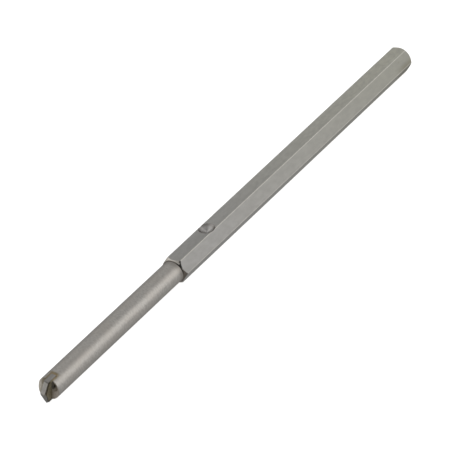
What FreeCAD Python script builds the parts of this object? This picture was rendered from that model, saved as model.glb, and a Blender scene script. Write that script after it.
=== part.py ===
import FreeCAD, Part
import Sketcher
import math
import os

# Carbide-tipped centring punch bit, a free-standing hand tool accessory lying on a bench.
# Three brazed pieces: a hexagonal steel bar with a turned nose, a tungsten-carbide point
# plate let into a cross slot in the nose, and the braze filler that holds the plate.
#
# Every body is drawn about its own axis: X runs from the point (x = 0) to the rear end,
# Z is the direction of the flat that carries the seat.  The placements then put the whole
# tool on the bench: origin at the middle of its length, on the face it rests on, +Z up.

doc = FreeCAD.newDocument("punch_bit")
V = FreeCAD.Vector

# ---------------------------------------------------------------------------------------
# Sizes, millimetres and degrees
# ---------------------------------------------------------------------------------------
SIZES = [
    ("overall_length", 250.4),    # point to rear face, a nominal 250
    ("across_flats", 10.0),       # drawn hexagon bar
    ("edge_round", 0.25),         # rolled-off long edges of the drawn bar
    ("nose_length", 84.1),        # point to shoulder
    ("nose_d", 9.0),              # turned front part
    ("annulus_d", 10.04),         # flat ring of the shoulder, out to the corner chamfer
    ("corner_taper", 28.0),       # chamfer cone at the shoulder, from the axis
    ("rear_face_d", 9.8),         # flat of the rear face inside its chamfer
    ("rear_taper", 38.0),         # chamfer cone at the rear, from the axis
    ("seat_back", 23.4),          # shoulder to seat centre
    ("seat_d", 6.6),              # mouth of the conical seat in the top flat
    ("seat_angle", 118.0),        # included, a plain drill point
    ("stock_back", 2.0),          # point to the sawn end of the bar, before its front is shaped
    ("rim_back", 4.1),            # point to the front face of the steel, at the axis and above
    ("near_lean", 3.0),           # below the axis the front face leans forward, on the one side
    ("far_lean", 17.0),           # and on the other side of the plate
    ("hollow_side", 2.2),         # hollow ground into the near front face: its middle from the axis
    ("hollow_rise", 1.4),         # and above it
    ("hollow_d", 3.2),            # mouth of the hollow
    ("hollow_deep", 0.5),
    ("plate_thick", 2.0),         # carbide plate
    ("plate_back", 7.15),         # point to the rear edge of the plate
    ("plate_d", 9.35),            # circle its two ends and the filler are ground to
    ("plate_drop", 0.2),          # centre of that circle below the bar's axis
    ("plate_turn", 8.7),          # plate turned about the axis, from the seat direction
    ("upper_slope", 62.5),        # upper half of the point, flank to axis
    ("lower_slope", 72.0),        # lower half, ground blunter along its near edge
    ("flank_relief", 0.25),       # upper flank: how far its far edge lies behind the near edge
    ("lower_relief", 0.8),        # lower flank: how far its second facet rises past the near edge
    ("braze_gap", 0.4),           # filler on each side of the plate
    ("braze_rear", 0.9),          # filler behind the plate
    ("slot_corner", 0.8),         # rounded corners at the bottom of the slot
    ("coat_front", 0.8),          # point to the front of the filler coat on the near face
    ("coat_upper", 27.0),         # edges of that coat, leaning back from the axis plane
    ("coat_lower", 17.0),
    ("bead_rise", 0.9),           # height and width of the filler bead at the front face
    ("bead_radius", 1.6),         # hollow of that bead
    ("bead_start", 0.8),          # the bead runs from here, above the axis, to the outside
    ("overrun", 0.6),             # how far cutting profiles run past the metal
]

sheet = doc.addObject("Spreadsheet::Sheet", "Sizes")
for row, (name, value) in enumerate(SIZES, start=1):
    sheet.set("A%d" % row, name)
    sheet.set("B%d" % row, "%g" % value)
    sheet.setAlias("B%d" % row, name)
doc.recompute()
SIZE = {name: float(sheet.get(name)) for name, _ in SIZES}

HALF = SIZE["across_flats"] / 2
CORNER = SIZE["across_flats"] / math.sqrt(3)
NOSE_R = SIZE["nose_d"] / 2
OUTSIDE = CORNER + SIZE["overrun"]
SLOT_END = SIZE["plate_back"] + SIZE["braze_rear"]
SLOT_HALF = SIZE["plate_thick"] / 2 + SIZE["braze_gap"]


def tangent(name):
    return math.tan(math.radians(SIZE[name]))


def e_tangent(name):
    return "tan(Sizes." + name + " * 1 deg)"


# The same derived sizes as expressions, for the sketches
E_CORNER = "Sizes.across_flats / sqrt(3)"
E_OUTSIDE = "Sizes.across_flats / sqrt(3) + Sizes.overrun"
E_TAPER_RUN = "(" + E_OUTSIDE + " - Sizes.annulus_d / 2) / " + e_tangent("corner_taper")
E_REAR_RUN = "(" + E_OUTSIDE + " - Sizes.rear_face_d / 2) / " + e_tangent("rear_taper")
E_SLOT_END = "Sizes.plate_back + Sizes.braze_rear"
E_SLOT_HALF = "Sizes.plate_thick / 2 + Sizes.braze_gap"
E_HALF_THICK = "Sizes.plate_thick / 2"
E_HALF = "Sizes.across_flats / 2"
E_NOSE_R = "Sizes.nose_d / 2"


# ---------------------------------------------------------------------------------------
# Helpers
# ---------------------------------------------------------------------------------------
def new_body(name):
    body = doc.addObject("PartDesign::Body", name)
    body.Label = name
    return body


def new_sketch(body, name, plane):
    sketch = body.newObject("Sketcher::SketchObject", name)
    origin_plane = [f for f in body.Origin.OriginFeatures if f.Role == plane][0]
    sketch.AttachmentSupport = [(origin_plane, "")]
    sketch.MapMode = "FlatFace"
    return sketch


def tilt(sketch, axis, expression, angle):
    """Turn a sketch about one of its own axes through its origin."""
    sketch.AttachmentOffset = FreeCAD.Placement(V(0, 0, 0), FreeCAD.Rotation(axis, angle))
    sketch.setExpression("AttachmentOffset.Rotation.Angle", expression)


def pin(sketch, edge, end, across, along, tag):
    """Fix one end of an edge by its two distances from the sketch origin."""
    point = sketch.getPoint(edge, end)
    for kind, value, text in (("DistanceX", point.x, across), ("DistanceY", point.y, along)):
        if text == "0":
            axis = -2 if kind == "DistanceX" else -1
            sketch.addConstraint(Sketcher.Constraint("PointOnObject", edge, end, axis))
        else:
            refs = (-1, 1, edge, end) if value > 0 else (edge, end, -1, 1)
            index = sketch.addConstraint(Sketcher.Constraint(kind, *refs, abs(value)))
            label = tag + ("_x" if kind == "DistanceX" else "_y")
            sketch.renameConstraint(index, label)
            sketch.setExpression("Constraints." + label, text)


def outline(sketch, corners):
    """Closed chain of straight edges; each corner is (x, y, x expression, y expression)."""
    count = len(corners)
    for i in range(count):
        here = V(corners[i][0], corners[i][1], 0)
        there = V(corners[(i + 1) % count][0], corners[(i + 1) % count][1], 0)
        sketch.addGeometry(Part.LineSegment(here, there), False)
    for i in range(count):
        sketch.addConstraint(Sketcher.Constraint("Coincident", i, 2, (i + 1) % count, 1))
    for i in range(count):
        pin(sketch, i, 1, corners[i][2], corners[i][3], "p%d" % i)


def arc_between(sketch, centre, radius, start, sweep, before, after, expression, tag):
    """Arc of a given radius joining the end of one edge to the start of the next."""
    begin = math.radians(start)
    circle = Part.Circle(centre, V(0, 0, 1), radius)
    edge = sketch.addGeometry(Part.ArcOfCircle(circle, begin, begin + math.radians(sweep)), False)
    sketch.addConstraint(Sketcher.Constraint("Coincident", before, 2, edge, 1))
    sketch.addConstraint(Sketcher.Constraint("Coincident", edge, 2, after, 1))
    index = sketch.addConstraint(Sketcher.Constraint("Radius", edge, radius))
    sketch.renameConstraint(index, tag)
    sketch.setExpression("Constraints." + tag, expression)


def turn_away(body, sketch, name, axis="H_Axis"):
    """Full-turn cut of a profile about an axis of its own sketch."""
    cut = body.newObject("PartDesign::Groove", name)
    cut.Profile = sketch
    cut.ReferenceAxis = (sketch, [axis])
    cut.Angle = 360
    sketch.Visibility = False
    return cut


def pad_both_ways(body, sketch, name, expression):
    pad = body.newObject("PartDesign::Pad", name)
    pad.Profile = sketch
    pad.SideType = "Symmetric"
    pad.setExpression("Length", expression)
    return pad


def cut_both_ways(body, sketch, name, expression):
    cut = body.newObject("PartDesign::Pocket", name)
    cut.Profile = sketch
    cut.SideType = "Symmetric"
    cut.setExpression("Length", expression)
    return cut


def cut_one_side(body, sketch, name, near):
    """Cut away from the plate's middle plane, towards its near or its far side."""
    cut = body.newObject("PartDesign::Pocket", name)
    cut.Profile = sketch
    cut.Reversed = near
    cut.setExpression("Length", "Sizes.across_flats")
    return cut


def cut_front(body, name, near, back, upper, lower, turned=False):
    """Shape the front on one side of the plate: a line each way from (back, 0) on the axis.

    Each line is (sign, angle size): it leans from the cross plane by that angle, backwards
    where the sign is 1 and forwards where it is -1.  None keeps the line square to the axis.
    """
    sketch = new_sketch(body, name + "_profile", "XZ_Plane")
    if turned:
        tilt(sketch, V(1, 0, 0), "Sizes.plate_turn", SIZE["plate_turn"])
    points = [(-SIZE["overrun"], OUTSIDE, "Sizes.overrun", E_OUTSIDE)]
    for side, lean in ((1, upper), (0, None), (-1, lower)):
        shift = 0.0
        e_shift = ""
        if lean is not None:
            sign, size = lean
            shift = sign * OUTSIDE * tangent(size)
            e_shift = (" + (" if sign > 0 else " - (") + E_OUTSIDE + ") * " + e_tangent(size)
        e_across = E_OUTSIDE if side else "0"
        points.append((SIZE[back] + shift, side * OUTSIDE, "Sizes." + back + e_shift, e_across))
    points.append((-SIZE["overrun"], -OUTSIDE, "Sizes.overrun", E_OUTSIDE))
    outline(sketch, points)
    return cut_one_side(body, sketch, name, near)


def grind_round(body, name):
    """Grind a body's ends to the plate's circle, which stands a little lower than the bar."""
    sketch = new_sketch(body, name + "_profile", "XZ_Plane")
    sketch.setExpression("AttachmentOffset.Base.y", "-Sizes.plate_drop")
    far = SLOT_END + SIZE["overrun"]
    e_far = E_SLOT_END + " + Sizes.overrun"
    radius = SIZE["plate_d"] / 2
    e_radius = "Sizes.plate_d / 2"
    outside = OUTSIDE + SIZE["overrun"]
    e_outside = E_OUTSIDE + " + Sizes.overrun"
    outline(sketch, [
        (-SIZE["overrun"], radius, "Sizes.overrun", e_radius),
        (far, radius, e_far, e_radius),
        (far, outside, e_far, e_outside),
        (-SIZE["overrun"], outside, "Sizes.overrun", e_outside),
    ])
    return turn_away(body, sketch, name)


def slot_outline(sketch, front, e_front):
    """U-shaped slot seen along the plate, from its open front to its rounded bottom."""
    corner = SIZE["slot_corner"]
    straight = SLOT_END - corner
    inner = SLOT_HALF - corner
    e_straight = E_SLOT_END + " - Sizes.slot_corner"
    e_inner = E_SLOT_HALF + " - Sizes.slot_corner"
    runs = [
        ((front, -SLOT_HALF, e_front, E_SLOT_HALF), (straight, -SLOT_HALF, e_straight, E_SLOT_HALF)),
        ((SLOT_END, -inner, E_SLOT_END, e_inner), (SLOT_END, inner, E_SLOT_END, e_inner)),
        ((straight, SLOT_HALF, e_straight, E_SLOT_HALF), (front, SLOT_HALF, e_front, E_SLOT_HALF)),
    ]
    for number, (begin, end) in enumerate(runs):
        line = Part.LineSegment(V(begin[0], begin[1], 0), V(end[0], end[1], 0))
        sketch.addGeometry(line, False)
        pin(sketch, number, 1, begin[2], begin[3], "run%d_begin" % number)
        pin(sketch, number, 2, end[2], end[3], "run%d_end" % number)
    sketch.addGeometry(Part.LineSegment(V(front, SLOT_HALF, 0), V(front, -SLOT_HALF, 0)), False)
    sketch.addConstraint(Sketcher.Constraint("Coincident", 2, 2, 3, 1))
    sketch.addConstraint(Sketcher.Constraint("Coincident", 3, 2, 0, 1))
    arc_between(sketch, V(straight, -inner, 0), corner, -90, 90, 0, 1, "Sizes.slot_corner", "lower_round")
    arc_between(sketch, V(straight, inner, 0), corner, 0, 90, 1, 2, "Sizes.slot_corner", "upper_round")


def bead_outline(sketch):
    """Bead in the corner between the filler coat and the front of the bar, slightly hollow."""
    rise = SIZE["bead_rise"]
    root = V(SIZE["rim_back"], -SLOT_HALF, 0)
    foot = V(SIZE["rim_back"], -SLOT_HALF - rise, 0)
    crest = V(SIZE["rim_back"] - rise, -SLOT_HALF, 0)
    outward = V(-1, -1, 0).normalize()
    stand_off = math.sqrt(SIZE["bead_radius"] ** 2 - rise ** 2 / 2)
    centre = (foot + crest) * 0.5 + outward * stand_off
    sketch.addGeometry(Part.LineSegment(crest, root), False)
    sketch.addGeometry(Part.LineSegment(root, foot), False)
    sketch.addConstraint(Sketcher.Constraint("Coincident", 0, 2, 1, 1))
    pin(sketch, 0, 1, "Sizes.rim_back - Sizes.bead_rise", E_SLOT_HALF, "crest")
    pin(sketch, 1, 1, "Sizes.rim_back", E_SLOT_HALF, "root")
    pin(sketch, 1, 2, "Sizes.rim_back", E_SLOT_HALF + " + Sizes.bead_rise", "foot")
    sketch.addGeometry(Part.Arc(foot, centre - outward * SIZE["bead_radius"], crest), False)
    first = 1 if sketch.getPoint(2, 1).distanceToPoint(foot) < 0.001 else 2
    sketch.addConstraint(Sketcher.Constraint("Coincident", 1, 2, 2, first))
    sketch.addConstraint(Sketcher.Constraint("Coincident", 0, 1, 2, 3 - first))
    index = sketch.addConstraint(Sketcher.Constraint("Radius", 2, SIZE["bead_radius"]))
    sketch.renameConstraint(index, "hollow")
    sketch.setExpression("Constraints.hollow", "Sizes.bead_radius")


# ---------------------------------------------------------------------------------------
# Steel bar: hexagon shank, turned nose, seat, slot for the plate
# ---------------------------------------------------------------------------------------
bar = new_body("steel_bar")

hexagon = new_sketch(bar, "hexagon", "YZ_Plane")
hexagon.setExpression("AttachmentOffset.Base.z", "Sizes.stock_back")
E_SIDE = "Sizes.across_flats / 2 / sqrt(3)"
outline(hexagon, [
    (CORNER, 0, E_CORNER, "0"),
    (CORNER / 2, HALF, E_SIDE, E_HALF),
    (-CORNER / 2, HALF, E_SIDE, E_HALF),
    (-CORNER, 0, E_CORNER, "0"),
    (-CORNER / 2, -HALF, E_SIDE, E_HALF),
    (CORNER / 2, -HALF, E_SIDE, E_HALF),
])
stock = bar.newObject("PartDesign::Pad", "drawn_stock")
stock.Profile = hexagon
stock.setExpression("Length", "Sizes.overall_length - Sizes.stock_back")
doc.recompute()

long_edges = []
for number, edge in enumerate(stock.Shape.Edges, start=1):
    if edge.Length > SIZE["overall_length"] / 2:
        long_edges.append("Edge%d" % number)
rolled = bar.newObject("PartDesign::Fillet", "rolled_edges")
rolled.Base = (stock, long_edges)
rolled.setExpression("Radius", "Sizes.edge_round")

nose_profile = new_sketch(bar, "nose_profile", "XZ_Plane")
ahead = SIZE["stock_back"] - SIZE["overrun"]
E_AHEAD = "Sizes.stock_back - Sizes.overrun"
taper_run = (OUTSIDE - SIZE["annulus_d"] / 2) / tangent("corner_taper")
outline(nose_profile, [
    (ahead, NOSE_R, E_AHEAD, E_NOSE_R),
    (SIZE["nose_length"], NOSE_R, "Sizes.nose_length", E_NOSE_R),
    (SIZE["nose_length"], SIZE["annulus_d"] / 2, "Sizes.nose_length", "Sizes.annulus_d / 2"),
    (SIZE["nose_length"] + taper_run, OUTSIDE, "Sizes.nose_length + " + E_TAPER_RUN, E_OUTSIDE),
    (ahead, OUTSIDE, E_AHEAD, E_OUTSIDE),
])
turn_away(bar, nose_profile, "turned_nose")

rear_profile = new_sketch(bar, "rear_profile", "XZ_Plane")
rear_run = (OUTSIDE - SIZE["rear_face_d"] / 2) / tangent("rear_taper")
outline(rear_profile, [
    (SIZE["overall_length"] - rear_run, OUTSIDE, "Sizes.overall_length - " + E_REAR_RUN, E_OUTSIDE),
    (SIZE["overall_length"], SIZE["rear_face_d"] / 2, "Sizes.overall_length", "Sizes.rear_face_d / 2"),
    (SIZE["overall_length"], OUTSIDE, "Sizes.overall_length", E_OUTSIDE),
])
turn_away(bar, rear_profile, "rear_chamfer")

seat_profile = new_sketch(bar, "seat_profile", "XZ_Plane")
seat_profile.setExpression("AttachmentOffset.Base.x", "Sizes.nose_length + Sizes.seat_back")
seat_profile.setExpression("AttachmentOffset.Base.y", E_HALF)
half_seat = math.tan(math.radians(SIZE["seat_angle"] / 2))
E_HALF_SEAT = "tan(Sizes.seat_angle / 2 * 1 deg)"
E_SEAT_WIDE = "Sizes.seat_d / 2 + Sizes.overrun * " + E_HALF_SEAT
outline(seat_profile, [
    (0, -SIZE["seat_d"] / 2 / half_seat, "0", "Sizes.seat_d / 2 / " + E_HALF_SEAT),
    (SIZE["seat_d"] / 2 + SIZE["overrun"] * half_seat, SIZE["overrun"], E_SEAT_WIDE, "Sizes.overrun"),
    (0, SIZE["overrun"], "0", "Sizes.overrun"),
])
turn_away(bar, seat_profile, "seat", "V_Axis")

slot = new_sketch(bar, "slot_profile", "XY_Plane")
tilt(slot, V(1, 0, 0), "Sizes.plate_turn", SIZE["plate_turn"])
slot_outline(slot, ahead, E_AHEAD)
cut_both_ways(bar, slot, "plate_slot", "Sizes.across_flats * 2")

# The front face stands square above the axis and leans forward below it, mostly on the far
# side of the plate; on the near side a small hollow has been ground into it.
cut_front(bar, "near_front", True, "rim_back", None, (-1, "near_lean"), turned=True)
cut_front(bar, "far_front", False, "rim_back", None, (-1, "far_lean"), turned=True)

hollow = new_sketch(bar, "hollow_profile", "XY_Plane")
tilt(hollow, V(1, 0, 0), "Sizes.plate_turn", SIZE["plate_turn"])
hollow.setExpression("AttachmentOffset.Base.y", "-Sizes.hollow_rise * sin(Sizes.plate_turn * 1 deg)")
hollow.setExpression("AttachmentOffset.Base.z", "Sizes.hollow_rise * cos(Sizes.plate_turn * 1 deg)")
ball_d = SIZE["hollow_deep"] + SIZE["hollow_d"] ** 2 / 4 / SIZE["hollow_deep"]
E_BALL_D = "(Sizes.hollow_deep + Sizes.hollow_d ^ 2 / 4 / Sizes.hollow_deep)"
deepest = SIZE["rim_back"] + SIZE["hollow_deep"]
E_DEEPEST = "Sizes.rim_back + Sizes.hollow_deep"
hollow.addGeometry(Part.LineSegment(
    V(deepest - ball_d, -SIZE["hollow_side"], 0), V(deepest, -SIZE["hollow_side"], 0)), False)
pin(hollow, 0, 1, E_DEEPEST + " - " + E_BALL_D, "Sizes.hollow_side", "front")
pin(hollow, 0, 2, E_DEEPEST, "Sizes.hollow_side", "deepest")
ball = Part.Circle(V(deepest - ball_d / 2, -SIZE["hollow_side"], 0), V(0, 0, 1), ball_d / 2)
hollow.addGeometry(Part.ArcOfCircle(ball, 0, math.pi), False)
hollow.addConstraint(Sketcher.Constraint("Coincident", 0, 2, 1, 1))
hollow.addConstraint(Sketcher.Constraint("Coincident", 1, 2, 0, 1))
hollow.addConstraint(Sketcher.Constraint("PointOnObject", 1, 3, 0))
turn_away(bar, hollow, "hollow", "Edge1")

# ---------------------------------------------------------------------------------------
# Carbide plate: a slab across the nose with a roof-shaped point
# ---------------------------------------------------------------------------------------
plate = new_body("carbide_plate")
upper_run = OUTSIDE / tangent("upper_slope")
lower_run = OUTSIDE / tangent("lower_slope")
E_UPPER_RUN = "(" + E_OUTSIDE + ") / " + e_tangent("upper_slope")
E_LOWER_RUN = "(" + E_OUTSIDE + ") / " + e_tangent("lower_slope")

slab_profile = new_sketch(plate, "slab_profile", "XZ_Plane")
outline(slab_profile, [
    (0, 0, "0", "0"),
    (upper_run, OUTSIDE, E_UPPER_RUN, E_OUTSIDE),
    (SIZE["plate_back"], OUTSIDE, "Sizes.plate_back", E_OUTSIDE),
    (SIZE["plate_back"], -OUTSIDE, "Sizes.plate_back", E_OUTSIDE),
    (lower_run, -OUTSIDE, E_LOWER_RUN, E_OUTSIDE),
])
pad_both_ways(plate, slab_profile, "slab", "Sizes.plate_thick")
grind_round(plate, "ground_ends")

# Each flank has a facet that runs back towards its far edge: over the whole of the upper
# flank, and over the far part of the lower one.
GRINDS = (("upper", 1, 0, SIZE["flank_relief"], "0", "Sizes.flank_relief"),
          ("lower", -1, -SIZE["lower_relief"], 0, "Sizes.lower_relief", "0"))
lean = 90 - SIZE["upper_slope"]
half = SIZE["plate_thick"] / 2
clear = -SIZE["lower_relief"] - SIZE["overrun"]
E_CLEAR = "Sizes.lower_relief + Sizes.overrun"
for name, side, near, far, e_near, e_far in GRINDS:
    facet = new_sketch(plate, name + "_facet_profile", "XY_Plane")
    sign = "" if side > 0 else "-"
    tilt(facet, V(0, 1, 0), sign + "(90 - Sizes.upper_slope)", side * lean)
    outline(facet, [
        (near, -half, e_near, E_HALF_THICK),
        (far, half, e_far, E_HALF_THICK),
        (clear, half, E_CLEAR, E_HALF_THICK),
        (clear, -half, E_CLEAR, E_HALF_THICK),
    ])
    grind = plate.newObject("PartDesign::Pocket", name + "_facet")
    grind.Profile = facet
    grind.setExpression("Length", "Sizes.nose_d")
    grind.Reversed = side > 0

# ---------------------------------------------------------------------------------------
# Braze filler: fills the slot round the plate and coats the plate's near face in front of it
# ---------------------------------------------------------------------------------------
braze = new_body("braze_filler")

film_profile = new_sketch(braze, "film_profile", "XY_Plane")
slot_outline(film_profile, SIZE["coat_front"], "Sizes.coat_front")
pad_both_ways(braze, film_profile, "film", "Sizes.across_flats")
cut_front(braze, "coat_edge", True, "coat_front", (1, "coat_upper"), (1, "coat_lower"))
cut_front(braze, "flush_front", False, "rim_back", None, (-1, "far_lean"))

bead_profile = new_sketch(braze, "bead_profile", "XY_Plane")
bead_profile.setExpression("AttachmentOffset.Base.z", "Sizes.bead_start")
bead_outline(bead_profile)
bead = braze.newObject("PartDesign::Pad", "bead")
bead.Profile = bead_profile
bead.setExpression("Length", E_HALF)

plate_bed = new_sketch(braze, "plate_bed", "XY_Plane")
bed_front = SIZE["coat_front"] - SIZE["overrun"]
E_BED_FRONT = "Sizes.coat_front - Sizes.overrun"
outline(plate_bed, [
    (bed_front, -half, E_BED_FRONT, E_HALF_THICK),
    (SIZE["plate_back"], -half, "Sizes.plate_back", E_HALF_THICK),
    (SIZE["plate_back"], half, "Sizes.plate_back", E_HALF_THICK),
    (bed_front, half, E_BED_FRONT, E_HALF_THICK),
])
cut_both_ways(braze, plate_bed, "plate_bed_cut", "Sizes.across_flats * 2")
grind_round(braze, "ground_outside")

# ---------------------------------------------------------------------------------------
# Place the tool on the bench, check it and write it out
# ---------------------------------------------------------------------------------------
for body, turn in ((bar, 0.0), (plate, SIZE["plate_turn"]), (braze, SIZE["plate_turn"])):
    where = V(-SIZE["overall_length"] / 2, 0, HALF)
    body.Placement = FreeCAD.Placement(where, FreeCAD.Rotation(V(1, 0, 0), turn))
    body.setExpression("Placement.Base.x", "-Sizes.overall_length / 2")
    body.setExpression("Placement.Base.z", "Sizes.across_flats / 2")
for body in (plate, braze):
    body.setExpression("Placement.Rotation.Angle", "Sizes.plate_turn")
doc.recompute()

for item in doc.Objects:
    if "Invalid" in item.State or "Error" in item.State:
        raise RuntimeError("%s is %s" % (item.Name, item.State))

os.makedirs("parts", exist_ok=True)
for body in (bar, plate, braze):
    shape = body.Shape
    if shape.isNull() or not shape.isValid() or len(shape.Solids) != 1:
        raise RuntimeError(body.Label + " is not one valid solid")
    print(body.Label, round(shape.Volume, 3), shape.optimalBoundingBox())
    shape.exportStep("parts/%s.step" % body.Label)
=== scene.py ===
import math

import bmesh
import bpy
from mathutils import Matrix, Vector


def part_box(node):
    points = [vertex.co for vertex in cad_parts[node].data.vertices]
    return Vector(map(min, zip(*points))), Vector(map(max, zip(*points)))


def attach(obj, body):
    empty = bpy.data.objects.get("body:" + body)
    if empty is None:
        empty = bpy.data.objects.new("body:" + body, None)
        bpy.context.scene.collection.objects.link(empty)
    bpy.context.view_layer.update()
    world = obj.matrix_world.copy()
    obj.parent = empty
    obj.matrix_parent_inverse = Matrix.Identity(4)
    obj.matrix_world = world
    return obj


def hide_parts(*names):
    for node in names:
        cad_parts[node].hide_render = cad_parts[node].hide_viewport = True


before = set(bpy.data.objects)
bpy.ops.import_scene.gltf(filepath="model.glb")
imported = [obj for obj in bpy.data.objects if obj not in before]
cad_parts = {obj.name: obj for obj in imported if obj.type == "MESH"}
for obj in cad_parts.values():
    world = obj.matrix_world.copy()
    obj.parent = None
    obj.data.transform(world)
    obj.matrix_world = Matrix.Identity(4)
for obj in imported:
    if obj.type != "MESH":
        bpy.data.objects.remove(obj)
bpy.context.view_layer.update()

MM = 0.001

# ---------------------------------------------------------------------------------------
# Places on the tool, from the CAD parts in model.glb, and the sizes that they don't state
# ---------------------------------------------------------------------------------------
bar_low, bar_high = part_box("steel_bar")
plate_low, plate_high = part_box("carbide_plate")

POINT_X = plate_low[0]                       # tip of the carbide
REAR_X = bar_high[0]                         # rear face
HALF_FLATS = (bar_high[2] - bar_low[2]) / 2
AXIS_Z = bar_low[2] + HALF_FLATS
NOSE_R = 4.5 * MM
PLATE_BACK_X = plate_high[0]

STOCK_X = POINT_X + 2 * MM                   # end of the bar before its front faces are cut
RIM_X = POINT_X + 4.1 * MM                   # front face of the steel, at the axis
SHOULDER_X = POINT_X + 84.1 * MM
SEAT_X = SHOULDER_X + 23.4 * MM
EDGE_ROUND = 0.25 * MM                       # six long edges of the hexagon
ANNULUS_R = 4.8 * MM                         # edge of the shoulder's ring: just inside the flats, so that the
                                             # chamfer crosses them; the CAD's ring lies just outside them
REAR_FACE_R = 4.9 * MM
REAR_TAPER = math.radians(38)
RIM_BREAK = 0.15 * MM                        # worn outer edge of the steel's front faces
SHOULDER_FILLET = 0.2 * MM
CORNER_TAPER = math.radians(35)              # slope of the shoulder's chamfer; the CAD's is flatter
SEAT_R = 3.3 * MM
SEAT_HALF_ANGLE = math.radians(59)
SEAT_FLARE = 0.2 * MM                        # how much wider than the cone its cutter ends
NEAR_LEAN = math.radians(3)                  # front face of the steel below the axis, near and far side
FAR_LEAN = math.radians(17)
HOLLOW_SIDE = 2.2 * MM                       # hollow in the near front face
HOLLOW_RISE = 1.4 * MM
HOLLOW_R = 1.6 * MM
HOLLOW_DEEP = 0.5 * MM
PLATE_TURN = math.radians(8.7)
PLATE_HALF = 1.0 * MM
PLATE_END_R = 9.35 / 2 * MM                  # circle that the plate's ends and the filler are ground to
PLATE_DROP = 0.2 * MM                        # its centre below the axis
PLATE_EDGE = 0.07 * MM                       # worn edges of the carbide
PLATE_LAND = 0.35 * MM                       # land where the upper flank meets the outer end
UPPER_SLOPE = math.radians(62.5)
LOWER_SLOPE = math.radians(72)
FLANK_RELIEF = 0.25 * MM
LOWER_RELIEF = 0.8 * MM
BRAZE_GAP = 0.4 * MM
SLOT_HALF = PLATE_HALF + BRAZE_GAP
SLOT_END_X = PLATE_BACK_X + 0.9 * MM
SLOT_CORNER = 0.8 * MM
COAT_X = POINT_X + 0.8 * MM                  # front of the braze coat on the near face
COAT_UPPER = math.radians(27)
COAT_LOWER = math.radians(17)
COAT_BACK = 0.2                              # mm: mean of the coat's wandering edge behind its straight line
COAT_WAVES = ((0.12, 0.55, 0), (0.08, 0.23, 1))    # mm: height and length of each wave, and where it starts
COAT_REACH = 1.3 * NOSE_R
BEAD_RISE = 0.9 * MM
BEAD_START = 0.8 * MM
BEAD_END = 1.15 * NOSE_R
BEAD_OVERLAP = 0.1 * MM
MELT_GRAIN = 0.07 * MM                       # voxel of the melted filler
CORNER_R = HALF_FLATS / math.cos(math.pi / 6)

# how far stock and cutters run past what they shape
OVERRUN = 1 * MM
STOCK_REACH = 1.2 * NOSE_R
PAST_NOSE = 2 * NOSE_R
PAST_BAR = 2 * CORNER_R
PAST_PLATE = 2 * PLATE_HALF

ON_SURFACE = 0.01 * MM                       # nearer than this counts as lying on a surface
BAR_STEPS = 192                              # facets round the bar, the seat and the hollow
SEAT_STEPS = 96
HOLLOW_STEPS = 64
NOSE_RINGS = 24
COAT_STEPS = 48
BAR_CREASE = math.radians(24)                # edges that turn more than this stay sharp
PLATE_CREASE = math.radians(30)


# ---------------------------------------------------------------------------------------
# Mesh helpers
# ---------------------------------------------------------------------------------------
def add_object(name, mesh):
    obj = bpy.data.objects.new(name, mesh)
    bpy.context.scene.collection.objects.link(obj)
    return obj


def make_mesh(name, points, faces):
    mesh = bpy.data.meshes.new(name)
    mesh.from_pydata([tuple(p) for p in points], [], faces)
    bm = bmesh.new()
    bm.from_mesh(mesh)
    bmesh.ops.recalc_face_normals(bm, faces=bm.faces)
    bm.to_mesh(mesh)
    bm.free()
    return mesh


def lathe(name, profile, segments, place):
    """Solid of revolution about local X; the profile runs (along, radius) from axis to axis."""
    points = [place @ Vector((profile[0][0], 0, 0))]
    for along, radius in profile[1:-1]:
        for k in range(segments):
            turn = 2 * math.pi * k / segments
            points.append(place @ Vector((along, radius * math.sin(turn), radius * math.cos(turn))))
    points.append(place @ Vector((profile[-1][0], 0, 0)))
    faces = []
    rings = len(profile) - 2
    for k in range(segments):
        after = (k + 1) % segments
        faces.append((0, 1 + k, 1 + after))
        last = 1 + (rings - 1) * segments
        faces.append((last + after, last + k, len(points) - 1))
        for ring in range(rings - 1):
            low = 1 + ring * segments
            high = low + segments
            faces.append((low + k, high + k, high + after, low + after))
    return add_object(name, make_mesh(name, points, faces))


def prism(name, outline, start, end, place):
    """Straight prism along local X over an outline of (y, z) points."""
    count = len(outline)
    points = [place @ Vector((start, y, z)) for y, z in outline]
    points += [place @ Vector((end, y, z)) for y, z in outline]
    faces = [tuple(range(count)), tuple(range(2 * count - 1, count - 1, -1))]
    for k in range(count):
        after = (k + 1) % count
        faces.append((k, after, count + after, count + k))
    return add_object(name, make_mesh(name, points, faces))


def arc(centre, radius, start, end, steps):
    """Points (x, y) along an arc, angles in degrees."""
    points = []
    for k in range(steps + 1):
        angle = math.radians(start + (end - start) * k / steps)
        points.append((centre[0] + radius * math.cos(angle), centre[1] + radius * math.sin(angle)))
    return points


def combine(target, tool, operation):
    """Exact boolean of two objects, applied to the first; the second is removed."""
    modifier = target.modifiers.new("shape", "BOOLEAN")
    modifier.object = tool
    modifier.operation = operation
    modifier.solver = "EXACT"
    apply_modifiers(target)
    bpy.data.objects.remove(tool)


def apply_modifiers(obj):
    graph = bpy.context.evaluated_depsgraph_get()
    mesh = bpy.data.meshes.new_from_object(obj.evaluated_get(graph))
    obj.modifiers.clear()
    obj.data = mesh


ON_AXIS = Matrix.Translation((0, 0, AXIS_Z))
ON_PLATE = ON_AXIS @ Matrix.Rotation(PLATE_TURN, 4, "X")    # (along, across, up) of the plate
# turns for a prism, so that its outline runs along and up the plate, or along and across it
ALONG_AND_UP = Matrix(((0, 1, 0, 0), (1, 0, 0, 0), (0, 0, 1, 0), (0, 0, 0, 1)))
ALONG_AND_ACROSS = Matrix(((0, 1, 0, 0), (0, 0, 1, 0), (1, 0, 0, 0), (0, 0, 0, 1)))


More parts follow.
